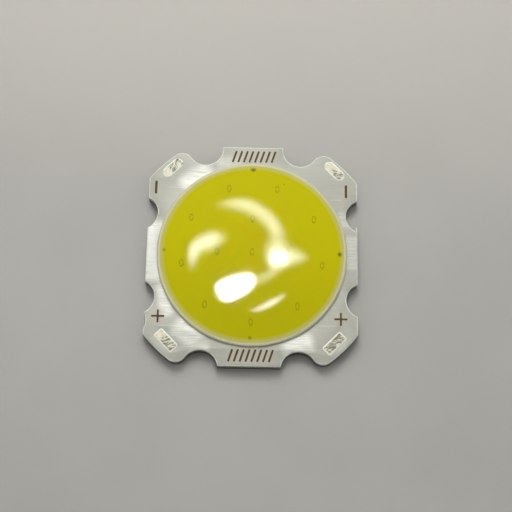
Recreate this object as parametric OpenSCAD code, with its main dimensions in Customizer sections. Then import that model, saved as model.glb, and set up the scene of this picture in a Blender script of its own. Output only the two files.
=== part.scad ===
// Round chip-on-board LED: a notched aluminium board with fourteen blue dies
// wired in two strings of seven, under a yellow phosphor dome inside a dam ring.
// +Z is the light's direction, the end tabs face +Y and -Y.

/* [Board] */
// Diameter of the circle that the four corner lobes follow
board_d = 28; // [27.4:0.1:29]
// Width across the two side tabs
board_w = 22.3; // [21.8:0.1:22.8]
// Length across the two end tabs
board_l = 24.1; // [23.6:0.1:24.6]
// Thickness of the aluminium base
base_t = 1.35; // [0.8:0.05:2]
// How far the stamped lobes and notches sit off the printed centre, across
stamp_dx = -0.085; // [-0.2:0.005:0.2]
// How far the stamped lobes and notches sit off the printed centre, along
stamp_dy = -0.235; // [-0.3:0.005:0.3]

/* [Notches and lobes] */
// Radius of the eight screw notches
notch_r = 1.87; // [1.6:0.01:2]
// Width of each end tab, between its two notches
end_tab_w = 6.5; // [6:0.1:7]
// Distance between the two notches on one side, centre to centre
side_notch_pitch = 9.26; // [8.9:0.02:9.6]
// How far the side notches' centres lie outside the side edge
side_notch_out = 0.75; // [0.5:0.05:0.95]
// Radius that rounds each lobe into its end notch
lobe_r = 1.2; // [0.8:0.05:1.5]
// Depth of the dent in the left side of the near lobe
dent_depth = 0.24; // [0.1:0.02:0.4]
// Length of that dent along the edge
dent_l = 1.9; // [1.4:0.1:2.2]

/* [Laid-up layers] */
// Thickness of the insulating laminate
laminate_t = 0.1; // [0.06:0.01:0.2]
// Thickness of the copper tracks
copper_t = 0.035; // [0.018:0.001:0.04]
// Thickness of the top coat, measured from the laminate
coat_t = 0.05; // [0.045:0.005:0.08]
// Bare margin between the coat and the board's edge
coat_margin = 0.1; // [0.05:0.01:0.2]
// Distance from the tracks to the board's edge
track_margin = 0.22; // [0.16:0.02:0.26]
// Height of the straight edge of the positive tracks, from the centre
positive_track_y = 7.65; // [7.3:0.05:8]
// Height of the straight edge of the negative tracks, from the centre
negative_track_y = 6.9; // [6.5:0.05:7.4]
// Gap between the positive and the negative bond arc
arc_gap = 2.4; // [1.6:0.1:3]

/* [Solder pads] */
// Distance of the pads' centres from the circle of the lobes
pad_inset = 1.105; // [0.95:0.005:1.25]
// Direction of the pads' centres, from the side tabs towards the end tabs
pad_angle = 47.45; // [46.8:0.05:48.1]
// Length of each pad
pad_l = 2.6; // [2.2:0.05:2.8]
// Width of each pad
pad_w = 1.15; // [0.9:0.05:1.2]
// Corner radius of the positive pads
pad_corner_r = 0.2; // [0.1:0.02:0.4]
// Height of the tin on each pad
tin_t = 0.08; // [0.05:0.01:0.12]
// Width of the tin's sloping rim
tin_rim_w = 0.13; // [0.06:0.01:0.2]

/* [Light-emitting surface] */
// Outer diameter of the dam ring
dam_d = 20.1; // [19.7:0.1:20.4]
// Width of the dam ring
dam_w = 0.6; // [0.5:0.05:0.7]
// Height of the dam ring above the coat
dam_h = 0.42; // [0.4:0.01:0.6]
// How much the radius of the dam's crown exceeds half its width
crown_spare = 0.03; // [0.01:0.01:0.04]
// Width of the crown that the phosphor covers
gel_lap = 0.28; // [0.2:0.01:0.3]
// Thickness of the phosphor's edge on that crown
gel_edge_t = 0.02; // [0.01:0.01:0.04]
// Height of the phosphor's crest above the coat
gel_crest_h = 0.68; // [0.62:0.01:0.9]
// How full the phosphor's dome is: 2 is a plain dome, more is flatter in the middle
gel_fullness = 2.4; // [2:0.1:4]

/* [Dies and wires] */
// Radius of the outer ring of nine dies
outer_ring_r = 7.5; // [7.2:0.05:7.8]
// Radius of the inner ring of four dies
inner_ring_r = 3.7; // [3.3:0.05:4.1]
// Length of a die
die_l = 0.76; // [0.6:0.02:1]
// Width of a die
die_w = 0.5; // [0.4:0.02:0.7]
// Thickness of a die
die_t = 0.15; // [0.1:0.01:0.18]
// Thickness of the glue under a die
glue_t = 0.02; // [0.01:0.005:0.04]
// Width of the glue that shows round a die
glue_lap = 0.04; // [0.02:0.01:0.08]
// Distance of each bond from the die's middle
bond_offset = 0.22; // [0.16:0.01:0.26]
// Width of the bare copper that the wires land on
bond_land_w = 0.5; // [0.4:0.05:0.6]
// Diameter of a bond wire
wire_d = 0.03; // [0.025:0.005:0.05]
// Diameter of the ball at each end of a wire
ball_d = 0.09; // [0.08:0.01:0.12]
// Height of that ball
ball_h = 0.04; // [0.04:0.005:0.06]
// How far a wire rises above its two ends
loop_h = 0.22; // [0.16:0.01:0.26]

/* [Hidden] */
$fn = 96;
RING_DIES = 9;
INNER_DIES = 4;
SIDES = [-1, 1];
stamp = [stamp_dx, stamp_dy];

laminate_top = base_t + laminate_t;
copper_top = laminate_top + copper_t;
coat_top = laminate_top + coat_t;
die_bottom = base_t + glue_t;
die_top = die_bottom + die_t;

dam_r = dam_d / 2;
dam_inner_r = dam_r - dam_w;
bond_arc_inner_r = dam_inner_r - bond_land_w;
bond_r = dam_inner_r - bond_land_w / 2;
laminate_lip = 0.15;
window_r = bond_arc_inner_r - laminate_lip;
gel_r = dam_inner_r + gel_lap;
track_under_dam = 0.3;

pad_centre = polar(board_d / 2 - pad_inset, pad_angle);
least_corner_r = 0.02;
lobe_copper_w = 2 * (pad_centre[0] - end_tab_w / 2 - track_margin);

// The crown of the dam is one arc across its width
crown_r = dam_w / 2 + crown_spare;
crown_z = coat_top + dam_h - crown_r;
crown_mid_r = dam_r - dam_w / 2;
gel_edge_z = crown_z + sqrt(pow(crown_r, 2) - pow(gel_r - crown_mid_r, 2)) + gel_edge_t;
crest_z = coat_top + gel_crest_h;
GEL_STEPS = 24;

// Each lobe's round touches both the outer circle and the end notch
lobe_reach = board_d / 2 - lobe_r;
end_notch = [end_tab_w / 2 + notch_r, board_l / 2];
side_notch = [board_w / 2 + side_notch_out, side_notch_pitch / 2];
lobe_centre = circles_meet(end_notch, lobe_reach, notch_r + lobe_r);
dent_r = (pow(dent_l / 2, 2) + pow(dent_depth, 2)) / (2 * dent_depth);
dent_y = -7.4;

DIES = concat(
    [for (k = [0 : RING_DIES - 1]) polar(outer_ring_r, 360 / RING_DIES * k - 90)],
    [for (k = [0 : INNER_DIES - 1]) polar(inner_ring_r, 360 / INNER_DIES * k)],
    [[0, 0]]
);
// The order in which the current passes through the dies of each string
STRINGS = [
    [0, 12, 1, 2, 9, 3, 4],
    [8, 7, 6, 11, 13, 10, 5]
];
PADS = [
    ["positive_pad_left", -1, -1],
    ["positive_pad_right", 1, -1],
    ["negative_pad_left", -1, 1],
    ["negative_pad_right", 1, 1]
];

function polar(r, a) = [r * cos(a), r * sin(a)];

// A string has one wire more than it has dies
function links(s) = len(STRINGS[s - 1]) + 1;

// Where a circle of radius r1 about the origin meets one of radius r2 about c,
// on the clockwise side of c
function circles_meet(c, r1, r2) =
    let (
        d = norm(c),
        along = (d * d + r1 * r1 - r2 * r2) / (2 * d),
        aside = sqrt(r1 * r1 - along * along)
    )
    (along * c + aside * [c[1], -c[0]]) / d;

// Landing points of a string: its bond arc, then each die's two bonds, then
// the other bond arc
function arc_landing(die) =
    let (p = DIES[die], a = atan2(p[1], p[0]), q = polar(bond_r, a))
    [q[0], q[1], copper_top];
function die_landing(die, side) =
    [DIES[die][0], DIES[die][1] + side * bond_offset, die_top];
function link_start(string, k) =
    k == 1 ? arc_landing(string[0]) : die_landing(string[k - 2], 1);
function link_end(string, k) =
    k == len(string) + 1 ? arc_landing(string[k - 2]) : die_landing(string[k - 1], -1);

// Height of the phosphor at a radius: a flat dome that steepens towards the dam
function gel_height(r) =
    crest_z - (crest_z - gel_edge_z) * pow(r / gel_r, gel_fullness);

// The board's outline, drawn in by an even margin
module outline(margin = 0) {
    difference() {
        intersection() {
            translate(stamp) stamped_blank(margin);
            square([board_w - 2 * margin, board_l - 2 * margin], center = true);
        }
        translate([-board_w / 2 + dent_depth - dent_r, dent_y])
            circle(r = dent_r + margin);
    }
}

module stamped_blank(margin) {
    difference() {
        circle(d = board_d - 2 * margin, $fn = 240);
        for (sx = SIDES, sy = SIDES) scale_signs(sx, sy) {
            translate(end_notch) circle(r = notch_r + margin);
            translate(side_notch) circle(r = notch_r + margin);
            lobe_cut(margin);
        }
    }
}

// What the lobe's round takes off the cusp between notch and outer circle
module lobe_cut(margin) {
    difference() {
        polygon([end_notch, lobe_centre, 2 * lobe_centre]);
        translate(lobe_centre) circle(r = lobe_r - margin);
    }
}

module scale_signs(sx, sy) {
    mirror([sx < 0 ? 1 : 0, 0, 0]) mirror([0, sy < 0 ? 1 : 0, 0]) children();
}

module base_plate() {
    color([0.75, 0.75, 0.74]) linear_extrude(base_t) outline();
}

module laminate() {
    color([0.88, 0.87, 0.8])
        translate([0, 0, base_t])
        linear_extrude(laminate_t)
        difference() {
            outline();
            circle(r = window_r, $fn = 180);
        }
}

// One net: the bond arc inside the dam and the copper under its two lobes
module track_shape(sy, straight_y) {
    difference() {
        union() {
            intersection() {
                outline(track_margin);
                for (sx = SIDES)
                    translate([sx * pad_centre[0], sy * (straight_y + board_l / 4)])
                        square([lobe_copper_w, board_l / 2], center = true);
            }
            intersection() {
                circle(r = dam_inner_r + track_under_dam, $fn = 180);
                translate([0, sy * (arc_gap / 2 + dam_r / 2)])
                    square([2 * dam_r, dam_r], center = true);
            }
        }
        circle(r = bond_arc_inner_r, $fn = 180);
    }
}

module positive_track() {
    color([0.8, 0.5, 0.3])
        translate([0, 0, laminate_top])
        linear_extrude(copper_t)
        track_shape(-1, positive_track_y);
}

module negative_track() {
    color([0.8, 0.5, 0.3])
        translate([0, 0, laminate_top])
        linear_extrude(copper_t)
        track_shape(1, negative_track_y);
}

module top_coat() {
    color([0.8, 0.8, 0.78])
        difference() {
            translate([0, 0, laminate_top])
                linear_extrude(coat_t)
                difference() {
                    outline(coat_margin);
                    circle(r = dam_inner_r, $fn = 180);
                    for (pad = PADS) pad_shape(pad[1], pad[2]);
                }
            positive_track();
            negative_track();
        }
}

// A pad lies square to its lobe; the negative ones have full round ends
module pad_shape(sx, sy, margin = 0) {
    translate([sx * pad_centre[0], sy * pad_centre[1]])
        rotate(-45 * sx * sy)
        if (sy > 0)
            round_bar(pad_l - 2 * margin, pad_w - 2 * margin, pad_w / 2 - margin);
        else
            round_bar(pad_l - 2 * margin, pad_w - 2 * margin, max(pad_corner_r - margin, least_corner_r));
}

module round_bar(l, w, r) {
    square([l - 2 * r, w], center = true);
    if (w > 2 * r) square([l, w - 2 * r], center = true);
    for (sx = SIDES, sy = SIDES)
        translate([sx * (l / 2 - r), sy * (w / 2 - r)]) circle(r = r, $fn = 32);
}

// A pad of tin: a low slab with a sloping rim, on the copper
module tinned_pad(sx, sy) {
    color([0.85, 0.84, 0.76])
        translate([0, 0, copper_top])
        hull() {
            linear_extrude(tin_t / 2) pad_shape(sx, sy);
            linear_extrude(tin_t) pad_shape(sx, sy, tin_rim_w);
        }
}

module dam_ring() {
    color([0.86, 0.86, 0.82])
        rotate_extrude($fn = 180)
        dam_profile();
}

module dam_profile() {
    intersection() {
        translate([dam_inner_r, coat_top]) square([dam_w, 2 * dam_h]);
        union() {
            translate([crown_mid_r, crown_z]) circle(r = crown_r);
            translate([dam_inner_r, coat_top]) square([dam_w, crown_z - coat_top]);
        }
    }
}

module phosphor_gel() {
    color([0.76, 0.73, 0.08])
        difference() {
            rotate_extrude($fn = 180) gel_profile();
            positive_track();
            negative_track();
            die_glue();
            for (i = [1 : len(DIES)]) led_die(i);
            for (s = [1 : len(STRINGS)], k = [1 : links(s)]) bond_wire(s, k);
        }
}

module gel_profile() {
    surface_points = [
        for (k = [GEL_STEPS : -1 : 0])
            let (r = gel_r * k / GEL_STEPS) [r, gel_height(r)]
    ];
    difference() {
        polygon(concat(
            [
                [0, base_t],
                [window_r, base_t],
                [window_r, laminate_top],
                [dam_inner_r, laminate_top],
                [dam_inner_r, coat_top],
                [gel_r, coat_top]
            ],
            surface_points
        ));
        dam_profile();
    }
}

module die_glue() {
    color([0.9, 0.9, 0.88])
        for (p = DIES)
            translate([p[0], p[1], base_t + glue_t / 2])
                cube([die_w + 2 * glue_lap, die_l + 2 * glue_lap, glue_t], center = true);
}

module led_die(i) {
    p = DIES[i - 1];
    color([0.55, 0.65, 0.85])
        translate([p[0], p[1], die_bottom + die_t / 2])
        cube([die_w, die_l, die_t], center = true);
}

// One bond wire: a ball at each landing and an arc between them
module bond_wire(s, k) {
    a = link_start(STRINGS[s - 1], k);
    b = link_end(STRINGS[s - 1], k);
    color([0.9, 0.75, 0.35]) {
        translate(a) cylinder(d = ball_d, h = ball_h, $fn = 24);
        translate(b) cylinder(d = ball_d, h = ball_h, $fn = 24);
        wire_arc(a + [0, 0, ball_h / 2], b + [0, 0, ball_h / 2]);
    }
}

module wire_arc(a, b) {
    d = b - a;
    chord = norm(d);
    loop_r = (pow(chord / 2, 2) + pow(loop_h, 2)) / (2 * loop_h);
    half_angle = asin(chord / 2 / loop_r);
    translate(a)
        rotate([0, -asin(d[2] / chord), atan2(d[1], d[0])])
        translate([chord / 2, 0, loop_h - loop_r])
        rotate([90, 0, 0])
        rotate(90 - half_angle)
        rotate_extrude(angle = 2 * half_angle, $fn = 360)
        translate([loop_r, 0])
        circle(d = wire_d, $fn = 12);
}

base_plate();
laminate();
positive_track();
negative_track();
top_coat();
for (pad = PADS)
    tinned_pad(pad[1], pad[2]);
dam_ring();
phosphor_gel();
die_glue();
for (i = [1 : len(DIES)])
    led_die(i);
for (s = [1 : len(STRINGS)], k = [1 : links(s)])
    bond_wire(s, k);
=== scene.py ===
"""Looks for a round chip-on-board LED on a notched aluminium board.

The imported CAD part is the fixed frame. Classes hold their sizes in millimetres;
MM turns them into Blender's metres. +Z is the light's direction, +Y the far end tab.
"""
import logging
import math
from dataclasses import dataclass, field
from enum import Enum
from typing import Optional, Sequence, Union

import bmesh
import bpy
from mathutils import Matrix, Vector, noise


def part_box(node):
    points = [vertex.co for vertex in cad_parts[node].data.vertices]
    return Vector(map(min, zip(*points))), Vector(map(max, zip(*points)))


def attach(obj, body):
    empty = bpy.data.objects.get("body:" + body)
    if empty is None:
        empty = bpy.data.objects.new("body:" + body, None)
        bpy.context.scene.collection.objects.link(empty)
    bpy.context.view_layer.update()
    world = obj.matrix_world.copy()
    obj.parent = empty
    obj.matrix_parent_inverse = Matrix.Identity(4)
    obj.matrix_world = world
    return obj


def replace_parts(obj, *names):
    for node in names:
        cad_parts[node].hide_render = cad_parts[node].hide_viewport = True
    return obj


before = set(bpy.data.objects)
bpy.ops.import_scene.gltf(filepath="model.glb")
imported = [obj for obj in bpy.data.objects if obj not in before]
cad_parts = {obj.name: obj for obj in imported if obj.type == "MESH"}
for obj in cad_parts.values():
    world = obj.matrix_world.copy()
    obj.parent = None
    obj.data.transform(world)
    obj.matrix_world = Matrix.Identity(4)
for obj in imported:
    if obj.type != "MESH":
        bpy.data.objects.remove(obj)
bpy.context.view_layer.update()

MM = 0.001
LOG = logging.getLogger("led")

Colour = tuple[float, float, float]
Point = tuple[float, float]


def srgb(red: int, green: int, blue: int) -> Colour:
    """Turns a display colour, 0 to 255, into the linear one that shaders use.

    Args:
        red: The red part.
        green: The green part.
        blue: The blue part.

    Returns:
        The linear colour.
    """
    def linear(part: int) -> float:
        """One part, by the display curve."""
        share = part / 255
        return share / 12.92 if share <= 0.04045 else ((share + 0.055) / 1.055) ** 2.4

    return linear(red), linear(green), linear(blue)


def smooth_step(low: float, high: float, value: float) -> float:
    """Rises smoothly from 0 to 1."""
    share = min(max((value - low) / (high - low), 0.0), 1.0)
    return share * share * (3 - 2 * share)


class Num:
    """A number in a shader, whose arithmetic adds Math nodes."""

    def __init__(self, shader: "Shader", socket: bpy.types.NodeSocket) -> None:
        """Wraps a socket of a shader."""
        self.shader = shader
        self.socket = socket

    def _math(self, operation: str, *values: "Value") -> "Num":
        """Adds a Math node."""
        inputs = dict(enumerate(values))
        return self.shader.number("ShaderNodeMath", {"operation": operation}, inputs)

    def __add__(self, other: "Value") -> "Num":
        """Sum."""
        return self._math("ADD", self, other)

    def __sub__(self, other: "Value") -> "Num":
        """Difference."""
        return self._math("SUBTRACT", self, other)

    def __rsub__(self, other: "Value") -> "Num":
        """Difference from a plain number."""
        return self._math("SUBTRACT", other, self)

    def __mul__(self, other: "Value") -> "Num":
        """Product."""
        return self._math("MULTIPLY", self, other)

    def __truediv__(self, other: "Value") -> "Num":
        """Quotient."""
        return self._math("DIVIDE", self, other)

    def __pow__(self, other: "Value") -> "Num":
        """Power."""
        return self._math("POWER", self, other)

    def __abs__(self) -> "Num":
        """Size without sign."""
        return self._math("ABSOLUTE", self)

    __radd__ = __add__
    __rmul__ = __mul__

    def least(self, other: "Value") -> "Num":
        """The smaller of two numbers."""
        return self._math("MINIMUM", self, other)

    def most(self, other: "Value") -> "Num":
        """The larger of two numbers."""
        return self._math("MAXIMUM", self, other)

    def rise(self, low: float, high: float) -> "Num":
        """A smooth step.

        Args:
            low: The value that gives 0.
            high: The value that gives 1, which may be below low.

        Returns:
            A mask from 0 to 1.
        """
        inputs = {"Value": self, "From Min": low, "From Max": high}
        settings = {"interpolation_type": "SMOOTHSTEP"}
        return self.shader.number("ShaderNodeMapRange", settings, inputs)


Value = Union[Num, float, int, bpy.types.NodeSocket, tuple]


class Shader:
    """One material and the nodes that feed its surface."""

    def __init__(self, name: str) -> None:
        """Starts an empty material."""
        self.material = bpy.data.materials.new(name)
        self.material.use_nodes = True
        self.tree = self.material.node_tree
        self.tree.nodes.clear()
        self.output = self.node("ShaderNodeOutputMaterial")
        self.place = self.node("ShaderNodeTexCoord").outputs["Object"]

    def node(
        self,
        kind: str,
        settings: Optional[dict] = None,
        inputs: Optional[dict[Union[str, int], Value]] = None,
    ) -> bpy.types.Node:
        """Adds any node.

        Args:
            kind: The node's type.
            settings: Its properties, set first; "stops" fills a colour ramp.
            inputs: Values or links by socket name or number.

        Returns:
            The node.
        """
        node = self.tree.nodes.new(kind)
        for key, value in (settings or {}).items():
            if key == "stops":
                self._fill_ramp(node, value)
            else:
                setattr(node, key, value)
        for key, value in (inputs or {}).items():
            socket = node.inputs[key]
            value = value.socket if isinstance(value, Num) else value
            if isinstance(value, bpy.types.NodeSocket):
                self.tree.links.new(value, socket)
            elif isinstance(value, tuple) and socket.type == "RGBA":
                socket.default_value = (*value, 1.0)
            else:
                socket.default_value = value
        return node

    def _fill_ramp(self, node: bpy.types.Node, stops: Sequence[tuple[float, float]]) -> None:
        """Sets a ramp's grey stops.

        Args:
            node: The ramp.
            stops: Pairs of place and brightness.
        """
        elements = node.color_ramp.elements
        while len(elements) < len(stops):
            elements.new(1.0)
        for element, (place, level) in zip(elements, stops):
            element.position = place
            element.color = (level, level, level, 1.0)

    def number(self, kind: str, settings: dict, inputs: dict) -> Num:
        """Adds a node and wraps its first result as a number."""
        return Num(self, self.node(kind, settings, inputs).outputs[0])

    def vector(self, operation: str, *values: Value) -> bpy.types.NodeSocket:
        """Adds a Vector Math node."""
        inputs = dict(enumerate(values))
        return self.node("ShaderNodeVectorMath", {"operation": operation}, inputs).outputs[0]

    def length(self, vector: Value) -> Num:
        """Length of a vector."""
        node = self.node("ShaderNodeVectorMath", {"operation": "LENGTH"}, {0: vector})
        return Num(self, node.outputs["Value"])

    def axes(self, vector: Optional[Value] = None) -> tuple[Num, Num, Num]:
        """Splits a vector, by default the place on the piece, in millimetres.

        Args:
            vector: The vector, or None for the piece's own coordinates.

        Returns:
            Its three parts.
        """
        if vector is None:
            vector = self.vector("SCALE", self.place)
            vector.node.inputs["Scale"].default_value = 1 / MM
        node = self.node("ShaderNodeSeparateXYZ", None, {0: vector})
        return tuple(Num(self, part) for part in node.outputs)

    def join(self, x: Value, y: Value, z: Value = 0.0) -> bpy.types.NodeSocket:
        """Makes a vector of three numbers."""
        return self.node("ShaderNodeCombineXYZ", None, {0: x, 1: y, 2: z}).outputs[0]

    def grain(self, vector: Value, scale: float, detail: float = 3.0, rough: float = 0.5) -> Num:
        """Noise at a place."""
        inputs = {"Vector": vector, "Scale": scale, "Detail": detail, "Roughness": rough}
        return self.number("ShaderNodeTexNoise", {}, inputs)

    def box_mask(self, centre: Point, half: Point, soft: float, turn: float = 0.0) -> Num:
        """A soft-edged rectangle on the board, in millimetres.

        Args:
            centre: Its middle.
            half: Half its width and length.
            soft: How far its edge fades outwards.
            turn: Its turn in degrees.

        Returns:
            1 inside, 0 outside.
        """
        x, y, _ = self.axes()
        away_x, away_y = x - centre[0], y - centre[1]
        if turn:
            cos, sin = math.cos(math.radians(turn)), math.sin(math.radians(turn))
            away_x, away_y = away_x * cos + away_y * sin, away_y * cos - away_x * sin
        beyond = self.join(
            (abs(away_x) - half[0]).most(0.0), (abs(away_y) - half[1]).most(0.0)
        )
        return self.length(beyond).rise(soft, 0.0)

    def mix(self, share: Value, first: Value, second: Value) -> bpy.types.NodeSocket:
        """Mixes two colours."""
        settings = {"data_type": "RGBA"}
        return self.node("ShaderNodeMix", settings, {0: share, 6: first, 7: second}).outputs[2]

    def bump(self, height: Num, distance: float, strength: float = 1.0) -> bpy.types.NodeSocket:
        """Turns a height into a normal."""
        inputs = {"Height": height, "Distance": distance * MM, "Strength": strength}
        return self.node("ShaderNodeBump", None, inputs).outputs[0]

    def surface(self, inputs: dict[str, Value]) -> bpy.types.Material:
        """Ends the material in one Principled surface.

        Args:
            inputs: The surface's values and links.

        Returns:
            The material.
        """
        surface = self.node("ShaderNodeBsdfPrincipled", None, inputs)
        self.tree.links.new(surface.outputs[0], self.output.inputs["Surface"])
        return self.material


@dataclass(frozen=True)
class PlainFinish:
    """A solid material with fine mottling: metals, laminate, ink and dies."""

    name: str
    base: Colour
    mottled: Colour
    metallic: float = 0.0
    roughness: float = 0.5
    grain_size: float = 0.3
    relief: float = 0.002

    def material(self) -> bpy.types.Material:
        """Builds the material.

        Returns:
            The material.
        """
        shader = Shader(self.name)
        spots = shader.grain(shader.place, 1 / (self.grain_size * MM), 4.0, 0.6)
        return shader.surface({
            "Base Color": shader.mix(spots.rise(0.35, 0.65), self.base, self.mottled),
            "Metallic": self.metallic,
            "Roughness": spots * 0.2 + (self.roughness - 0.1),
            "Normal": shader.bump(spots, self.relief),
        })


@dataclass(frozen=True)
class SheetEdge:
    """The punched wall of the metal: a smooth sheared band over a torn one, whose dark tone is partly the
    rough fracture and partly painted shade at the wall's foot.
    """

    name: str = "punched_edge"
    sheared: Colour = srgb(205, 205, 202)
    # Lower band: the fracture's tone, darkened further as painted shade at the wall's foot
    torn_shaded: Colour = srgb(128, 128, 126)
    top: float = 1.35
    band: float = 0.55

    def material(self) -> bpy.types.Material:
        """Builds the material.

        Returns:
            The material.
        """
        shader = Shader(self.name)
        x, y, z = shader.axes()
        drawn = shader.grain(shader.join(x * 9, y * 9, z * 1.2), 1.0, 4.0, 0.6)
        tear = shader.grain(shader.join(x * 3, y * 3, z * 5), 1.0, 5.0, 0.7)
        band = (z + (drawn - 0.5) * 0.35).rise(self.top - self.band - 0.1, self.top - self.band)
        tone = shader.mix(drawn.rise(0.35, 0.65), srgb(168, 168, 165), self.sheared)
        # Lower band: fracture tone with painted shade
        torn_shaded_tone = shader.mix(tear.rise(0.35, 0.65), srgb(98, 98, 96), self.torn_shaded)
        return shader.surface({
            "Base Color": shader.mix(band, torn_shaded_tone, tone),
            "Metallic": 0.7,
            "Roughness": 0.62 - band * 0.25,
            "Normal": shader.bump(drawn * 0.4 + tear * (1 - band), 0.03),
        })


@dataclass(frozen=True)
class BrushedLacquer:
    """The coated face: satin grey metal whose brush lines carry painted sheen, with painted highlights along
    the coat's steps.
    """

    name: str = "brushed_lacquer"
    base: Colour = srgb(192, 192, 179)
    dull: Colour = srgb(185, 186, 172)
    groove: Colour = srgb(164, 165, 151)
    # Painted highlight: near-white colour of the sheen on the brush lines and of the coat's steps
    painted_highlight: Colour = srgb(253, 253, 243)
    warm: Colour = srgb(200, 191, 170)
    # Faint steps in the coat, each with a painted highlight along it: where each starts and ends across, and
    # its place along
    steps: tuple = (
        (-9.1, -7.4, 7.27), (8.4, 9.35, 6.18), (-9.7, -7.3, -7.95), (7.15, 8.8, -7.66),
    )
    # Patches of painted sheen on the brush lines: middle, half size, how far they fade, turn and strength
    sheen_patches: tuple = (
        ((-10.75, 0.15), (0.55, 2.4), 1.6, 0, 1.7),
        ((-6.2, 8.6), (1.2, 0.2), 1.3, 35, 0.8),
        ((-9.2, -5.2), (0.2, 1.4), 0.8, 20, 0.65),
        ((-6.6, -8.7), (1.0, 0.5), 1.1, -35, 0.7),
        ((-5.3, -10.2), (0.6, 0.3), 0.8, 0, 0.6),
        ((4.9, -9.75), (1.1, 0.35), 1.1, 15, 0.95),
        ((9.9, 4.0), (0.5, 0.6), 0.6, 0, 0.35),
        ((-2.6, 10.1), (0.8, 0.3), 1.0, 0, 0.45),
        ((10.6, 0.3), (0.4, 1.6), 0.5, 0, 0.4),
    )

    def material(self, warm_places: Sequence[tuple[Point, Point]]) -> bpy.types.Material:
        """Builds the material.

        Args:
            warm_places: Middles and half sizes of the prints that warm the coat round them.

        Returns:
            The material.
        """
        shader = Shader(self.name)
        x, y, _ = shader.axes()
        sway = shader.grain(shader.join(x * 0.35, y * 0.35), 1.0, 2.0)
        lines = shader.grain(shader.join(x * 0.4, y * 16 + sway * 7), 1.0, 4.0, 0.65)
        broad = shader.grain(shader.join(x * 0.25, y * 0.3), 1.0, 2.0)
        painted_sheen = self._painted_sheen(shader, lines, sway)
        colour = shader.mix(broad.rise(0.35, 0.65), self.dull, self.base)
        colour = shader.mix(lines.rise(0.52, 0.3) * 0.45, colour, self.groove)
        # Painted sheen where the brush lines catch the light
        colour = shader.mix(painted_sheen, colour, self.painted_highlight)
        heat = self._heat(shader, warm_places)
        colour = shader.mix(heat * 0.4, colour, self.warm)
        ridge_and_highlight = self._ridges_and_highlights(shader)
        # Painted highlight along the coat's steps
        colour = shader.mix(ridge_and_highlight * 0.18, colour, self.painted_highlight)
        return shader.surface({
            "Base Color": colour,
            "Metallic": 0.15,
            "Roughness": 0.45 - painted_sheen * 0.15 + (lines - 0.5) * 0.2,
            "Normal": shader.bump(lines * 0.004 + ridge_and_highlight * 0.012, 1.0),
        })

    def _painted_sheen(self, shader: Shader, lines: Num, sway: Num) -> Num:
        """Where the brush lines flash: a mask of painted sheen.

        Args:
            shader: The material.
            lines: The brush lines.
            sway: Slow noise that breaks the patches up.

        Returns:
            A mask.
        """
        painted_sheen = None
        for centre, half, soft, turn, strength in self.sheen_patches:
            patch = shader.box_mask(centre, half, soft, turn) * strength
            painted_sheen = patch if painted_sheen is None else painted_sheen.most(patch)
        streaks = lines.rise(0.38, 0.62)
        return (painted_sheen * (streaks * 0.75 + 0.35) * (sway * 0.8 + 0.6)).least(1.0)

    def _heat(self, shader: Shader, places: Sequence[tuple[Point, Point]]) -> Num:
        """Where the coat is warmed by the prints.

        Args:
            shader: The material.
            places: Middles and half sizes of the prints.

        Returns:
            A mask.
        """
        heat = None
        for centre, half in places:
            near = shader.box_mask(centre, half, 0.45)
            heat = near if heat is None else heat.most(near)
        return heat

    def _ridges_and_highlights(self, shader: Shader) -> Num:
        """The faint steps in the coat over the edges of the copper: a relief, and a painted highlight along
        each.

        Args:
            shader: The material.

        Returns:
            A mask.
        """
        ridges_and_highlights = None
        for start, end, along in self.steps:
            middle, half = ((start + end) / 2, along), ((end - start) / 2, 0.02)
            ridge_and_highlight = shader.box_mask(middle, half, 0.09)
            ridges_and_highlights = ridge_and_highlight if ridges_and_highlights is None else ridges_and_highlights.most(ridge_and_highlight)
        return ridges_and_highlights


@dataclass(frozen=True)
class Tin:
    """Wiped solder: a clean cream rim round a dull, streaked middle."""

    name: str
    length: float
    width: float
    soiled_from: float
    soiled_to: float
    streak_turn: float
    seed: float
    clean: Colour = srgb(233, 230, 208)
    pale: Colour = srgb(253, 252, 240)
    dull: Colour = srgb(128, 130, 110)
    dark: Colour = srgb(98, 100, 78)

    def material(self) -> bpy.types.Material:
        """Builds the material.

        Returns:
            The material.
        """
        shader = Shader(self.name)
        uv = shader.node("ShaderNodeUVMap").outputs[0]
        u, v, _ = shader.axes(uv)
        along, across = (u - 0.5) * self.length, (v - 0.5) * self.width
        cos, sin = math.cos(math.radians(self.streak_turn)), math.sin(math.radians(self.streak_turn))
        run, over = along * cos + across * sin, across * cos - along * sin
        wave = shader.grain(shader.join(along, across, self.seed), 1.4, 2.0)
        streaks = shader.grain(
            shader.join(run * 1.2, over * 7.5 + wave * 3, self.seed), 1.0, 3.0, 0.6
        )
        blots = shader.grain(shader.join(along, across, self.seed + 5), 2.6, 4.0, 0.65)
        edge = (self.width / 2 - abs(across)).least(self.length / 2 - abs(along))
        inside = (edge + (blots - 0.5) * 0.2).rise(0.12, 0.2)
        reach = (along + (blots - 0.5) * 1.1)
        soiled = reach.rise(self.soiled_from - 0.15, self.soiled_from + 0.15)
        soiled = soiled * reach.rise(self.soiled_to + 0.15, self.soiled_to - 0.15)
        dirt = inside * (soiled * 0.8 + 0.2) * streaks.rise(0.58, 0.44)
        grime = dirt * blots.rise(0.45, 0.7)
        colour = shader.mix(edge.rise(0.02, 0.16), self.pale, self.clean)
        colour = shader.mix(dirt, colour, self.dull)
        colour = shader.mix(grime, colour, self.dark)
        return shader.surface({
            "Base Color": colour,
            "Metallic": 0.2,
            "Roughness": 0.38 + dirt * 0.25,
            "Normal": shader.bump(streaks * 0.6 + blots * 0.4, 0.03),
        })


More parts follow.
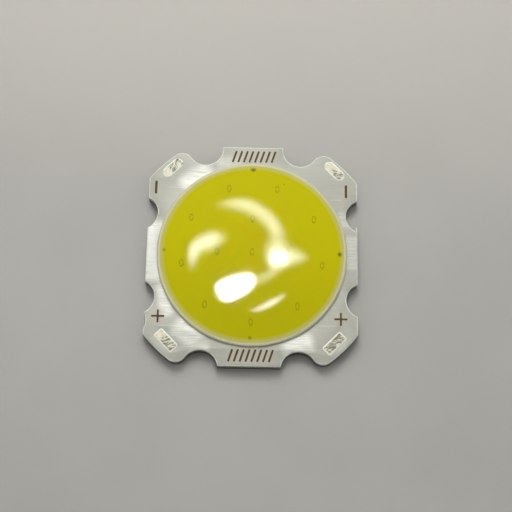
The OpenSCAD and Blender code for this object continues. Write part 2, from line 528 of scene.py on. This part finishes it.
@dataclass(frozen=True)
class MilkySilicone:
    """The dam: pale silicone whose inner side carries the phosphor's yellow as painted light bleeding through
    it.
    """

    name: str = "milky_silicone"
    outer: Colour = srgb(206, 203, 178)
    # Painted light: yellow bleeding through the silicone from the phosphor
    inner: Colour = srgb(198, 192, 64)
    painted_bleed_to: float = 9.45
    clear_from: float = 10.02

    def material(self) -> bpy.types.Material:
        """Builds the material.

        Returns:
            The material.
        """
        shader = Shader(self.name)
        x, y, _ = shader.axes()
        radius = shader.length(shader.join(x, y))
        uneven = shader.grain(shader.join(x, y), 1.1, 3.0)
        # Painted yellow light bleed on the inner side, fading outwards
        fade = (radius + (uneven - 0.5) * 0.12).rise(self.painted_bleed_to, self.clear_from)
        return shader.surface({
            "Base Color": shader.mix(fade, self.inner, self.outer),
            "Roughness": 0.3 + uneven * 0.1,
            "Coat Weight": 0.3,
            "Coat Roughness": 0.15,
            "Normal": shader.bump(uneven, 0.01),
        })


@dataclass(frozen=True)
class PhosphorFill:
    """Yellow phosphor in clear silicone: matt grains under a wet gloss."""

    name: str = "phosphor_fill"
    # The yellow at the far end, and the darker yellow that it turns to towards the near end
    far_yellow: Colour = srgb(197, 189, 6)
    near_yellow: Colour = srgb(182, 176, 3)
    amber: Colour = srgb(198, 181, 6)
    shadow: Colour = srgb(118, 112, 6)
    soot: Colour = srgb(84, 76, 8)
    rim: Colour = srgb(192, 187, 114)
    fade_from: float = 9.12
    edge_r: float = 9.73
    mark_half: Point = (0.19, 0.34)
    # Middles and radii of specks, and of the four dark spots at the rim
    specks: tuple = (
        ((3.3, 7.65), 0.11), ((-3.4, 5.05), 0.07), ((6.1, -0.6), 0.05),
        ((4.2, 0.9), 0.05), ((-2.6, 1.8), 0.04), ((0.9, -7.0), 0.04),
        ((2.2, 1.0), 0.05), ((2.7, 1.7), 0.045), ((4.6, 0.2), 0.045),
    )
    rim_spots: tuple = (
        ((-0.03, 9.36), 0.42, 0.95), ((9.3, -0.02), 0.36, 0.9),
        ((-0.05, -9.2), 0.28, 0.55), ((-9.28, 0.09), 0.26, 0.6),
    )

    def material(self, dies: Sequence[Point]) -> bpy.types.Material:
        """Builds the material.

        Args:
            dies: Where the dies lie under the phosphor.

        Returns:
            The material.
        """
        shader = Shader(self.name)
        x, y, _ = shader.axes()
        radius = shader.length(shader.join(x, y))
        cloud = shader.grain(shader.join(x * 0.16, y * 0.16, 3.0), 1.0, 3.0)
        grains = shader.grain(shader.join(x, y, 1.0), 9.0, 3.0, 0.6)
        # Darker towards the near end
        colour = shader.mix(y.rise(4.0, -9.0) * 0.8, self.far_yellow, self.near_yellow)
        colour = shader.mix((cloud.rise(0.45, 0.62)) * radius.rise(5.5, 1.5), colour, self.amber)
        marks = self._die_marks(shader, x, y, dies, grains)
        colour = shader.mix(marks * 0.7, colour, self.shadow)
        colour = shader.mix(self._soot(shader, x, y, grains), colour, self.soot)
        thin = (radius + (cloud - 0.5) * 0.1).rise(self.fade_from, self.edge_r)
        colour = shader.mix(thin, colour, self.rim)
        return shader.surface({
            "Base Color": colour,
            "Roughness": 0.035,
            "IOR": 1.41,
            "Normal": shader.bump(grains, 0.0004),
        })

    def _die_marks(
        self, shader: Shader, x: Num, y: Num, dies: Sequence[Point], grains: Num
    ) -> Num:
        """The dies' outlines, seen faintly through the phosphor.

        Args:
            shader: The material.
            x: Place across.
            y: Place along.
            dies: The dies' places.
            grains: Fine noise that breaks the outlines up.

        Returns:
            A mask.
        """
        nearest = None
        for across, along in dies:
            squashed = shader.join(
                (x - across) / self.mark_half[0], (y - along) / self.mark_half[1]
            )
            away = abs(shader.length(squashed) - 1)
            nearest = away if nearest is None else nearest.least(away)
        return nearest.rise(0.5, 0.15) * grains.rise(0.42, 0.56)

    def _soot(self, shader: Shader, x: Num, y: Num, grains: Num) -> Num:
        """Specks in the phosphor and the dark spots at its rim.

        Args:
            shader: The material.
            x: Place across.
            y: Place along.
            grains: Fine noise that roughens their edges.

        Returns:
            A mask.
        """
        soot = None
        spots = [(place, size, 0.6) for place, size in self.specks] + list(self.rim_spots)
        for (across, along), size, strength in spots:
            away = shader.length(shader.join(x - across, y - along)) + (grains - 0.5) * 0.15
            spot = away.rise(size, size * 0.3) * strength
            soot = spot if soot is None else soot.most(spot)
        return soot


@dataclass(frozen=True)
class TableTop:
    """The pale table under the board, lighter towards the far end as painted light."""

    name: str = "pale_table"
    base: Colour = srgb(180, 179, 172)
    mottled: Colour = srgb(176, 175, 168)
    # Painted light: the lighter tone towards the far end
    far: Colour = srgb(190, 187, 179)

    def material(self) -> bpy.types.Material:
        """Builds the material.

        Returns:
            The material.
        """
        shader = Shader(self.name)
        x, y, _ = shader.axes()
        cloud = shader.grain(shader.join(x, y), 0.06, 3.0)
        colour = shader.mix(cloud.rise(0.35, 0.65), self.base, self.mottled)
        return shader.surface({
            # Painted light growing towards the far end
            "Base Color": shader.mix(y.rise(0.0, 34.0), colour, self.far),
            "Roughness": 0.75,
        })


def add_piece(name: str, mesh: bmesh.types.BMesh, material: bpy.types.Material) -> bpy.types.Object:
    """Makes a piece of the part from a finished mesh.

    Args:
        name: The piece's name.
        mesh: Its mesh, which is used up.
        material: Its finish.

    Returns:
        The object, riding on the one body.
    """
    bmesh.ops.recalc_face_normals(mesh, faces=mesh.faces)
    data = bpy.data.meshes.new(name)
    mesh.to_mesh(data)
    mesh.free()
    piece = bpy.data.objects.new(name, data)
    bpy.context.scene.collection.objects.link(piece)
    data.materials.append(material)
    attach(piece, "root")
    LOG.info("%s: %d faces", name, len(data.polygons))
    return piece


def smooth_faces(mesh: bmesh.types.BMesh, sharp_from: float = 25.0) -> None:
    """Shades a mesh smooth, with sharp edges where it turns by more than an angle.

    Args:
        mesh: The mesh.
        sharp_from: That angle in degrees.
    """
    for face in mesh.faces:
        face.smooth = True
    for edge in mesh.edges:
        edge.smooth = edge.calc_face_angle(0.0) < math.radians(sharp_from)


def copy_node(node: str) -> bmesh.types.BMesh:
    """Copies a CAD node with its points merged and its flat faces whole.

    Args:
        node: The node's name.

    Returns:
        The copy.
    """
    mesh = bmesh.new()
    mesh.from_mesh(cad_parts[node].data)
    bmesh.ops.remove_doubles(mesh, verts=mesh.verts, dist=0.0002 * MM)
    bmesh.ops.dissolve_limit(mesh, angle_limit=math.radians(0.5), verts=mesh.verts, edges=mesh.edges)
    return mesh


def bevel_rim(mesh: bmesh.types.BMesh, height: float, width: float, segments: int) -> None:
    """Rounds the edges where level faces at one height meet walls.

    Args:
        mesh: The mesh.
        height: The faces' height in millimetres.
        width: How far the rounding reaches, in millimetres.
        segments: How many faces it has.
    """
    def on_level(edge: bmesh.types.BMEdge) -> bool:
        """Tells whether an edge lies at the height and turns sharply."""
        level = all(abs(vert.co.z / MM - height) < 0.004 for vert in edge.verts)
        return level and edge.calc_face_angle(0.0) > math.radians(45)

    edges = [edge for edge in mesh.edges if on_level(edge)]
    bmesh.ops.bevel(
        mesh, geom=edges, offset=width * MM, offset_type="OFFSET", segments=segments,
        profile=0.5, material=-1, affect="EDGES",
    )


@dataclass
class Board:
    """The stamped board: metal base, laminate and coat."""

    base_top: float = 1.35
    laminate_top: float = 1.45
    coat_top: float = 1.5
    foot_round: float = 0.05
    laminate_round: float = 0.05
    coat_round: float = 0.02
    warm_places: list = field(default_factory=list)

    def build(self) -> None:
        """Builds the three layers over their CAD nodes."""
        base = copy_node("base_plate")
        bevel_rim(base, 0.0, self.foot_round, 2)
        smooth_faces(base)
        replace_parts(add_piece("punched_base", base, SheetEdge().material()), "base_plate")

        laminate = copy_node("laminate")
        bevel_rim(laminate, self.laminate_top, self.laminate_round, 3)
        smooth_faces(laminate)
        finish = PlainFinish("bare_laminate", srgb(240, 240, 230), srgb(218, 218, 206), 0.0, 0.35, 0.25)
        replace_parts(add_piece("laminate_sheet", laminate, finish.material()), "laminate")

        coat = copy_node("top_coat")
        bevel_rim(coat, self.coat_top, self.coat_round, 2)
        smooth_faces(coat)
        finish = BrushedLacquer().material(self.warm_places)
        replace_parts(add_piece("lacquer_coat", coat, finish), "top_coat")


@dataclass
class TabBurr:
    """A ragged sliver of laminate and metal where a side was broken from its panel."""

    name: str
    start: Point
    end: Point
    outward: Point
    seed: float
    reach: float = 0.1
    low: float = 1.12
    high: float = 1.47
    steps: int = 56

    def build(self, material: bpy.types.Material) -> None:
        """Builds the sliver.

        Args:
            material: Its finish.
        """
        mesh = bmesh.new()
        bmesh.ops.create_grid(mesh, x_segments=self.steps, y_segments=4, size=1.0)
        bmesh.ops.solidify(mesh, geom=mesh.faces[:], thickness=0.03)
        first, last = Vector(self.start), Vector(self.end)
        out = Vector(self.outward)
        for vert in mesh.verts:
            share, level = (vert.co.x + 1) / 2, (vert.co.y + 1) / 2
            ends = smooth_step(0, 0.06, share) * smooth_step(1, 0.94, share)
            lumps = noise.noise(Vector((share * 17, level * 1.3, self.seed)))
            nicks = noise.noise(Vector((share * 47, level * 2.5, self.seed + 3)))
            swell = max(0.0, lumps * 1.3 + nicks * 0.6 + 0.12) * ends
            side = -1.0 if vert.co.z < -0.001 else swell * math.sin(math.pi * (0.15 + 0.8 * level))
            middle = first.lerp(last, share) + out * self.reach * side
            vert.co = Vector((middle.x, middle.y, self.low + (self.high - self.low) * level)) * MM
        smooth_faces(mesh, 50)
        add_piece(self.name, mesh, material)


@dataclass
class SolderPad:
    """One wiped tin pad, square to its lobe."""

    node: str
    centre: Point
    turn: float
    corner: float
    finish: Tin
    foot: float = 1.485
    height: float = 0.08
    rim: float = 0.13
    columns: int = 72
    rows: int = 34

    def build(self) -> None:
        """Builds the pad over its CAD node."""
        mesh = bmesh.new()
        bmesh.ops.create_grid(
            mesh, x_segments=self.columns, y_segments=self.rows, size=1.0, calc_uvs=True
        )
        boundary = [edge for edge in mesh.edges if edge.is_boundary]
        for vert in mesh.verts:
            vert.co = self._surface(vert.co.x, vert.co.y)
        skirt = bmesh.ops.extrude_edge_only(mesh, edges=boundary)["geom"]
        rim_edges = [item for item in skirt if isinstance(item, bmesh.types.BMEdge) and item.is_boundary]
        for vert in [item for item in skirt if isinstance(item, bmesh.types.BMVert)]:
            vert.co.z = 0.0
        bmesh.ops.contextual_create(mesh, geom=rim_edges)
        self._map(mesh)
        place = Matrix.Translation((self.centre[0], self.centre[1], self.foot))
        mesh.transform(Matrix.Scale(MM, 4) @ place @ Matrix.Rotation(math.radians(self.turn), 4, "Z"))
        smooth_faces(mesh, 40)
        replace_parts(add_piece(f"tin_{self.node}", mesh, self.finish.material()), self.node)

    def _surface(self, across: float, up: float) -> Vector:
        """Places a grid point on the pad's face.

        Args:
            across: -1 to 1 along the pad.
            up: -1 to 1 across it.

        Returns:
            The point, in millimetres about the pad's middle.
        """
        half_l, half_w = self.finish.length / 2, self.finish.width / 2
        y = up * half_w
        into = max(0.0, abs(y) - (half_w - self.corner))
        reach = half_l - self.corner + math.sqrt(max(self.corner ** 2 - into ** 2, 0.0))
        x = across * reach
        edge = min(reach - abs(x), half_w - abs(y))
        rise = smooth_step(-0.02, self.rim, edge)
        spot = Vector((x * 2.2, y * 2.2, self.finish.seed))
        lumps = noise.noise(spot) * 0.012 + noise.noise(spot * 3.1) * 0.006
        return Vector((x, y, self.height * 0.35 + rise * (self.height * 0.5 + lumps)))

    def _map(self, mesh: bmesh.types.BMesh) -> None:
        """Lays the pad's length and width over its UV map.

        Args:
            mesh: The pad's mesh about its middle, in millimetres.
        """
        layer = mesh.loops.layers.uv.verify()
        for face in mesh.faces:
            for loop in face.loops:
                x, y, _ = loop.vert.co
                loop[layer].uv = (x / self.finish.length + 0.5, y / self.finish.width + 0.5)


@dataclass
class LightSurface:
    """The dam ring and the phosphor that fills it."""

    coat_top: float = 1.5
    inner: float = 9.45
    outer: float = 10.05
    crown_half: float = 0.33
    dam_height: float = 0.42
    foot_flare: float = 0.06
    fill_reach: float = 9.73
    fill_floor: float = 1.46
    crest: float = 2.18
    edge: float = 1.94
    fullness: float = 2.4
    rings: int = 40
    steps: int = 192
    sway: float = 0.006

    def build(self, dies: Sequence[Point]) -> None:
        """Builds dam and phosphor over their CAD nodes.

        Args:
            dies: Where the dies lie under the phosphor.
        """
        dam = self._spun(self._dam_profile(), closed=True)
        smooth_faces(dam, 35)
        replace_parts(add_piece("milky_dam", dam, MilkySilicone().material()), "dam_ring")
        fill = self._spun(self._fill_profile(), closed=False)
        self._sway(fill)
        smooth_faces(fill, 35)
        finish = PhosphorFill().material(dies)
        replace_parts(add_piece("phosphor_dome", fill, finish), "phosphor_gel")

    def _spun(self, profile: Sequence[Point], closed: bool) -> bmesh.types.BMesh:
        """Turns a profile about the middle.

        Args:
            profile: Radii and heights in millimetres.
            closed: Whether the last point joins the first.

        Returns:
            The turned mesh.
        """
        mesh = bmesh.new()
        verts = [mesh.verts.new((radius * MM, 0.0, height * MM)) for radius, height in profile]
        chain = verts + verts[:1] if closed else verts
        for first, second in zip(chain, chain[1:]):
            mesh.edges.new((first, second))
        bmesh.ops.spin(
            mesh, geom=mesh.verts[:] + mesh.edges[:], cent=(0, 0, 0), axis=(0, 0, 1),
            angle=2 * math.pi, steps=self.steps, use_merge=True,
        )
        bmesh.ops.remove_doubles(mesh, verts=mesh.verts, dist=0.001 * MM)
        return mesh

    def _dam_profile(self) -> list[Point]:
        """The dam's section: a crown on two walls, the outer one wetting the coat.

        Returns:
            Radii and heights in millimetres.
        """
        middle = (self.inner + self.outer) / 2
        crown_z = self.coat_top + self.dam_height - self.crown_half
        reach = math.asin((self.outer - middle) / self.crown_half)
        arc = [reach * (1 - step / 10) for step in range(21)]
        crown = [
            (middle + self.crown_half * math.sin(angle), crown_z + self.crown_half * math.cos(angle))
            for angle in arc
        ]
        flare = [
            (self.outer, self.coat_top),
            (self.outer, self.coat_top + self.foot_flare),
        ]
        return flare + crown + [(self.inner, self.coat_top)]

    def _fill_profile(self) -> list[Point]:
        """The phosphor's section, from its floor round its edge to the middle of its dome.

        Returns:
            Radii and heights in millimetres.
        """
        dome = [
            (self.fill_reach * share, self._height(self.fill_reach * share))
            for share in (1 - step / self.rings for step in range(self.rings + 1))
        ]
        inside = self.inner - 0.01
        under_edge = [(0.0, self.fill_floor), (inside, self.fill_floor), (inside, self.edge - 0.1)]
        return under_edge + [(self.fill_reach, self.edge - 0.02)] + dome

    def _height(self, radius: float) -> float:
        """Height of the dome at a radius."""
        return self.crest - (self.crest - self.edge) * (radius / self.fill_reach) ** self.fullness

    def _sway(self, mesh: bmesh.types.BMesh) -> None:
        """Gives the dome the slow waves of a poured surface.

        Args:
            mesh: The phosphor's mesh.
        """
        for vert in mesh.verts:
            radius = math.hypot(vert.co.x, vert.co.y) / MM
            if vert.co.z > (self.edge - 0.01) * MM:
                calm = smooth_step(self.fill_reach, self.fill_reach * 0.8, radius)
                wave = noise.noise(Vector((vert.co.x, vert.co.y, 0.0)) / (4.5 * MM))
                vert.co.z += self.sway * (wave - 0.6) * calm * MM


@dataclass(frozen=True)
class Mark:
    """A printed shape on the coat."""

    centre: Point
    width: float
    length: float
    stroke: float = 0.2
    foot: float = 1.499
    thick: float = 0.012
    turn: float = 0.0

    def bar(self) -> bmesh.types.BMesh:
        """A plain bar.

        Returns:
            Its mesh.
        """
        mesh = bmesh.new()
        bmesh.ops.create_grid(mesh, x_segments=1, y_segments=1, size=0.5)
        bmesh.ops.scale(mesh, verts=mesh.verts, vec=(self.width, self.length, 1.0))
        return self._raised(mesh)

    def cross(self) -> bmesh.types.BMesh:
        """A plus sign.

        Returns:
            Its mesh.
        """
        mesh = bmesh.new()
        bmesh.ops.create_grid(mesh, x_segments=3, y_segments=3, size=1.5)
        corners = [
            face for face in mesh.faces
            if min(abs(face.calc_center_median().x), abs(face.calc_center_median().y)) > 0.5
        ]
        bmesh.ops.delete(mesh, geom=corners, context="FACES")
        for vert in mesh.verts:
            for axis, size in ((0, self.width), (1, self.length)):
                far = abs(vert.co[axis]) > 1
                vert.co[axis] = math.copysign(size / 2 if far else self.stroke / 2, vert.co[axis])
        return self._raised(mesh)

    def _raised(self, mesh: bmesh.types.BMesh) -> bmesh.types.BMesh:
        """Rounds a flat shape's corners a little, gives it thickness and puts it in place.

        Args:
            mesh: The flat shape about its middle, in millimetres.

        Returns:
            The finished mesh.
        """
        bmesh.ops.dissolve_limit(
            mesh, angle_limit=0.01, verts=mesh.verts, edges=mesh.edges
        )
        bmesh.ops.bevel(
            mesh, geom=mesh.verts[:], offset=self.stroke * 0.22, offset_type="OFFSET", segments=3,
            profile=0.5, material=-1, affect="VERTICES",
        )
        raised = bmesh.ops.extrude_face_region(mesh, geom=mesh.faces[:], use_keep_orig=True)["geom"]
        for vert in [item for item in raised if isinstance(item, bmesh.types.BMVert)]:
            vert.co.z += self.thick
        place = Matrix.Translation((self.centre[0], self.centre[1], self.foot))
        mesh.transform(Matrix.Scale(MM, 4) @ place @ Matrix.Rotation(math.radians(self.turn), 4, "Z"))
        return mesh


@dataclass
class Print:
    """Everything printed on the coat: polarity signs and two rows of slanted bars."""

    minus_at: tuple = ((-10.405, 7.25), (9.955, 7.17))
    plus_at: tuple = ((-9.655, -6.935), (9.375, -6.915))
    row_at: tuple = ((0.03, 10.95), (0.05, -10.94))
    minus_size: Point = (0.26, 1.45)
    plus_size: Point = (1.37, 1.37)
    row_half: Point = (2.3, 0.72)
    bar_size: Point = (0.21, 1.36)
    bar_pitch: float = 0.6
    bar_turn: float = -18.0
    bars: int = 8

    def build(self) -> None:
        """Builds the prints."""
        ink = PlainFinish("brown_ink", srgb(86, 68, 28), srgb(60, 46, 12), 0.0, 0.6, 0.15, 0.004).material()
        for side, place in zip(("left", "right"), self.minus_at):
            add_piece(f"minus_{side}", Mark(place, *self.minus_size).bar(), ink)
        for side, place in zip(("left", "right"), self.plus_at):
            add_piece(f"plus_{side}", Mark(place, *self.plus_size).cross(), ink)
        for end, (x, y) in zip(("far", "near"), self.row_at):
            for index in range(self.bars):
                shift = (index - (self.bars - 1) / 2) * self.bar_pitch
                slanted = Mark((x + shift, y), *self.bar_size, turn=self.bar_turn)
                add_piece(f"{end}_bar_{index + 1}", slanted.bar(), ink)

    def warm_places(self) -> list[tuple[Point, Point]]:
        """Middles and half sizes of the prints.

        Returns:
            One pair for each print.
        """
        places = [(place, (0.1, 0.6)) for place in self.minus_at]
        places += [(place, (0.5, 0.5)) for place in self.plus_at]
        return places + [(place, self.row_half) for place in self.row_at]


class Inner(Enum):
    """The finishes of what lies under the phosphor and the coat."""

    COPPER = PlainFinish("copper", srgb(196, 128, 92), srgb(172, 104, 70), 0.9, 0.35, 0.2)
    GOLD = PlainFinish("gold_wire", srgb(232, 196, 110), srgb(214, 172, 84), 1.0, 0.25, 0.05)
    GLUE = PlainFinish("die_glue", srgb(228, 228, 222), srgb(206, 206, 200), 0.0, 0.4, 0.1)
    DIE = PlainFinish("blue_die", srgb(112, 134, 190), srgb(88, 108, 170), 0.2, 0.2, 0.08)


@dataclass
class HiddenPieces:
    """The CAD nodes that stay as they are, each with its finish."""

    finishes: tuple = (
        ("positive_track", Inner.COPPER), ("negative_track", Inner.COPPER),
        ("die_glue", Inner.GLUE), ("led_die_", Inner.DIE), ("bond_wire_", Inner.GOLD),
    )

    def dress(self) -> list[Point]:
        """Gives each node its finish.

        Returns:
            The dies' middles in millimetres.
        """
        dies = []
        for start, inner in self.finishes:
            material = inner.value.material()
            for name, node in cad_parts.items():
                if name.startswith(start):
                    node.data.materials.clear()
                    node.data.materials.append(material)
                    if inner is Inner.DIE:
                        dies.append(self._middle(name))
        return dies

    def _middle(self, node: str) -> Point:
        """Middle of a node, seen from above, in millimetres."""
        low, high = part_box(node)
        return (low[0] + high[0]) / 2 / MM, (low[1] + high[1]) / 2 / MM


@dataclass
class Softbox:
    """A glowing panel along a bent path, level above the part."""

    name: str
    path: Sequence[Point]
    widths: Sequence[float]
    glow: float
    soft: float
    height: float = 300.0
    steps: int = 48
    rows: int = 12

    def build(self) -> None:
        """Builds the panel."""
        mesh = bmesh.new()
        bmesh.ops.create_grid(
            mesh, x_segments=self.steps, y_segments=self.rows, size=1.0, calc_uvs=True
        )
        layer = mesh.loops.layers.uv.verify()
        for face in mesh.faces:
            for loop in face.loops:
                loop[layer].uv = ((loop.vert.co.x + 1) / 2, (loop.vert.co.y + 1) / 2)
        for vert in mesh.verts:
            middle, aside, width = self._at((vert.co.x + 1) / 2)
            spot = middle + aside * (vert.co.y * width / 2)
            vert.co = Vector((spot.x, spot.y, self.height)) * MM
        data = bpy.data.meshes.new(self.name)
        mesh.to_mesh(data)
        mesh.free()
        panel = bpy.data.objects.new(self.name, data)
        bpy.context.scene.collection.objects.link(panel)
        data.materials.append(self._glow())
        panel.visible_camera = False

    def _at(self, share: float) -> tuple[Vector, Vector, float]:
        """Finds a place along the path.

        Args:
            share: 0 at its start, 1 at its end.

        Returns:
            The point, the direction across the path, and the width there.
        """
        def along(values: Sequence, at: float) -> Vector:
            """Blends a list of values smoothly at a place from 0 to 1."""
            last = len(values) - 1
            index = min(int(at * last), last - 1)
            part = at * last - index
            ends = [values[max(index - 1, 0)], values[index], values[index + 1], values[min(index + 2, last)]]
            before, first, second, after = (Vector(item) for item in ends)
            slope_in, slope_out = (second - before) / 2, (after - first) / 2
            square, cube = part ** 2, part ** 3
            return (
                first * (2 * cube - 3 * square + 1) + slope_in * (cube - 2 * square + part)
                + second * (3 * square - 2 * cube) + slope_out * (cube - square)
            )

        spot = along(self.path, share)
        ahead = along(self.path, min(share + 0.01, 1.0)) - along(self.path, max(share - 0.01, 0.0))
        width = along([(value, 0.0) for value in self.widths], share).x
        ends = max(0.0, 1 - abs(2 * share - 1) ** 6) ** 0.5
        return spot, Vector((-ahead.y, ahead.x)).normalized(), width * ends

    def _glow(self) -> bpy.types.Material:
        """A see-through light that fades towards the panel's edges.

        Returns:
            The material.
        """
        shader = Shader(self.name)
        uv = shader.node("ShaderNodeUVMap").outputs[0]
        u, v, _ = shader.axes(uv)
        across = (1 - abs(v * 2 - 1)).rise(0.0, self.soft)
        ends = (1 - abs(u * 2 - 1)).rise(0.0, self.soft * 0.6)
        light = shader.node("ShaderNodeEmission", None, {
            "Color": (1.0, 1.0, 0.98), "Strength": across * ends * self.glow,
        })
        clear = shader.node("ShaderNodeBsdfTransparent")
        both = shader.node("ShaderNodeAddShader", None, {0: light.outputs[0], 1: clear.outputs[0]})
        shader.tree.links.new(both.outputs[0], shader.output.inputs["Surface"])
        return shader.material


@dataclass(frozen=True)
class AreaLight:
    """A plain soft light outside the picture."""

    name: str
    place: tuple[float, float, float]
    size: float
    power: float
    tint: Colour = (1.0, 1.0, 1.0)

    def build(self) -> None:
        """Builds the light, turned to the part."""
        data = bpy.data.lights.new(self.name, "AREA")
        data.shape = "DISK"
        data.size = self.size * MM
        data.energy = self.power
        data.color = self.tint
        light = bpy.data.objects.new(self.name, data)
        light.location = Vector(self.place) * MM
        light.rotation_euler = (-light.location).to_track_quat("-Z", "Y").to_euler()
        light.visible_camera = False
        light.visible_glossy = False
        bpy.context.scene.collection.objects.link(light)


@dataclass
class Studio:
    """Table, light and camera."""

    target: tuple = (0.430, -0.235, 1.5)
    distance: float = 121.34
    elevation: float = 73.421
    azimuth: float = -1.323
    roll: float = 2.456
    lens: float = 80.86
    table: float = 3000.0
    sky: Colour = (1.0, 1.0, 1.0)
    sky_glow: float = 0.14
    lights: tuple = (
        AreaLight("far_window", (-10.0, 95.0, 140.0), 90.0, 0.157),
        AreaLight("left_fill", (-420.0, -40.0, 330.0), 260.0, 0.35),
        AreaLight("right_fill", (420.0, 60.0, 330.0), 260.0, 0.35),
        AreaLight("overhead", (0.0, -30.0, 420.0), 300.0, 0.15),
    )

    def build(self) -> None:
        """Builds the studio."""
        self._table()
        self._sky()
        for light in self.lights:
            light.build()
        for panel in self._panels():
            panel.build()
        self._camera()
        bpy.context.scene.view_settings.view_transform = "Standard"

    def _panels(self) -> list[Softbox]:
        """The glowing panels that the dome reflects.

        Returns:
            The panels.
        """
        return [
            Softbox("arched_panel", (
                (-30.0, 127.5), (-16.0, 127.0), (-5.0, 124.5), (6.0, 117.5), (14.0, 109.0),
                (17.5, 100.0), (18.0, 84.0),
            ), (11.0, 16.0, 18.0, 18.0, 18.0, 21.0, 26.0), 16.0, 1.0),
            Softbox("broad_panel", (
                (5.0, 87.5), (16.0, 88.5), (27.0, 88.0), (43.0, 87.0),
            ), (22.0, 31.0, 22.0, 9.0), 18.0, 1.0, 301.0),
            Softbox("round_panel", (
                (9.0, 85.5), (18.0, 86.0), (27.0, 86.5),
            ), (14.0, 20.0, 14.0), 34.0, 1.0, 302.0),
            Softbox("bent_panel", (
                (-13.0, 97.0), (-21.0, 97.5), (-30.0, 96.5), (-37.5, 92.0), (-40.0, 84.0),
                (-40.0, 74.0),
            ), (12.0, 19.0, 22.0, 18.0, 14.0, 11.0), 23.0, 1.0),
            Softbox("window_panel", (
                (-22.5, 59.5), (-15.5, 62.5), (-8.5, 66.5), (-3.0, 71.0), (1.0, 75.5),
            ), (12.0, 18.0, 18.0, 14.0, 8.0), 60.0, 0.14),
            Softbox("tail_panel", (
                (-1.0, 71.0), (6.0, 73.0), (12.0, 75.5), (18.0, 80.0),
            ), (9.0, 11.0, 11.0, 9.0), 9.0, 1.0, 303.0),
            Softbox("strip_panel", (
                (0.0, 46.0), (8.0, 49.0), (15.0, 54.0), (25.0, 62.0),
            ), (3.0, 5.5, 6.5, 4.5), 30.0, 1.0),
        ]

    def _table(self) -> None:
        """Builds the table."""
        mesh = bmesh.new()
        bmesh.ops.create_grid(mesh, x_segments=1, y_segments=1, size=self.table / 2 * MM)
        data = bpy.data.meshes.new("table")
        mesh.to_mesh(data)
        mesh.free()
        table = bpy.data.objects.new("table", data)
        bpy.context.scene.collection.objects.link(table)
        data.materials.append(TableTop().material())

    def _sky(self) -> None:
        """Builds the even light all round."""
        world = bpy.data.worlds.new("room")
        bpy.context.scene.world = world
        world.use_nodes = True
        background = world.node_tree.nodes["Background"]
        background.inputs["Color"].default_value = (*self.sky, 1.0)
        background.inputs["Strength"].default_value = self.sky_glow

    def _camera(self) -> None:
        """Builds the camera from its angles and distance."""
        azimuth, elevation = math.radians(self.azimuth), math.radians(self.elevation)
        back = Vector((
            math.sin(azimuth) * math.cos(elevation),
            -math.cos(azimuth) * math.cos(elevation),
            math.sin(elevation),
        ))
        right = (-back).cross(Vector((0, 0, 1))).normalized()
        up = right.cross(-back)
        turn = Matrix.Rotation(math.radians(self.roll), 3, back)
        data = bpy.data.cameras.new("camera")
        data.lens = self.lens
        data.sensor_width = 36.0
        data.clip_start = 0.005
        camera = bpy.data.objects.new("camera", data)
        axes = Matrix((turn @ right, turn @ up, back)).transposed().to_4x4()
        place = (Vector(self.target) + back * self.distance) * MM
        camera.matrix_world = Matrix.Translation(place) @ axes
        bpy.context.scene.collection.objects.link(camera)
        bpy.context.scene.camera = camera


def solder_pads() -> list[SolderPad]:
    """The four pads, each with its own wipe marks.

    Returns:
        The pads.
    """
    length, width = 2.6, 1.15
    return [
        SolderPad("negative_pad_left", (-8.72, 9.5), 45.0, width / 2,
                  Tin("tin_far_left", length, width, -0.35, 1.2, 25.0, 1.0)),
        SolderPad("negative_pad_right", (8.72, 9.5), -45.0, width / 2,
                  Tin("tin_far_right", length, width, 0.1, 1.0, 40.0, 9.0)),
        SolderPad("positive_pad_left", (-8.72, -9.5), -45.0, 0.2,
                  Tin("tin_near_left", length, width, -0.4, 1.4, 60.0, 17.0)),
        SolderPad("positive_pad_right", (8.72, -9.5), 45.0, 0.2,
                  Tin("tin_near_right", length, width, -1.3, 1.15, -30.0, 25.0)),
    ]


def main() -> None:
    """Builds the pieces and the studio round them."""
    logging.basicConfig(level=logging.INFO, format="%(message)s")
    dies = HiddenPieces().dress()
    prints = Print()
    Board(warm_places=prints.warm_places()).build()
    burr_finish = PlainFinish("torn_edge", srgb(226, 226, 222), srgb(190, 190, 186), 0.4, 0.4, 0.1).material()
    TabBurr("right_tab_burr", (11.13, -2.6), (11.13, 3.2), (1, 0), 4.0).build(burr_finish)
    TabBurr("left_lobe_burr", (-11.12, -8.3), (-11.12, -6.4), (-1, 0), 11.0, 0.03).build(burr_finish)
    for pad in solder_pads():
        pad.build()
    LightSurface().build(dies)
    prints.build()
    Studio().build()


if __name__ == "__main__":
    main()
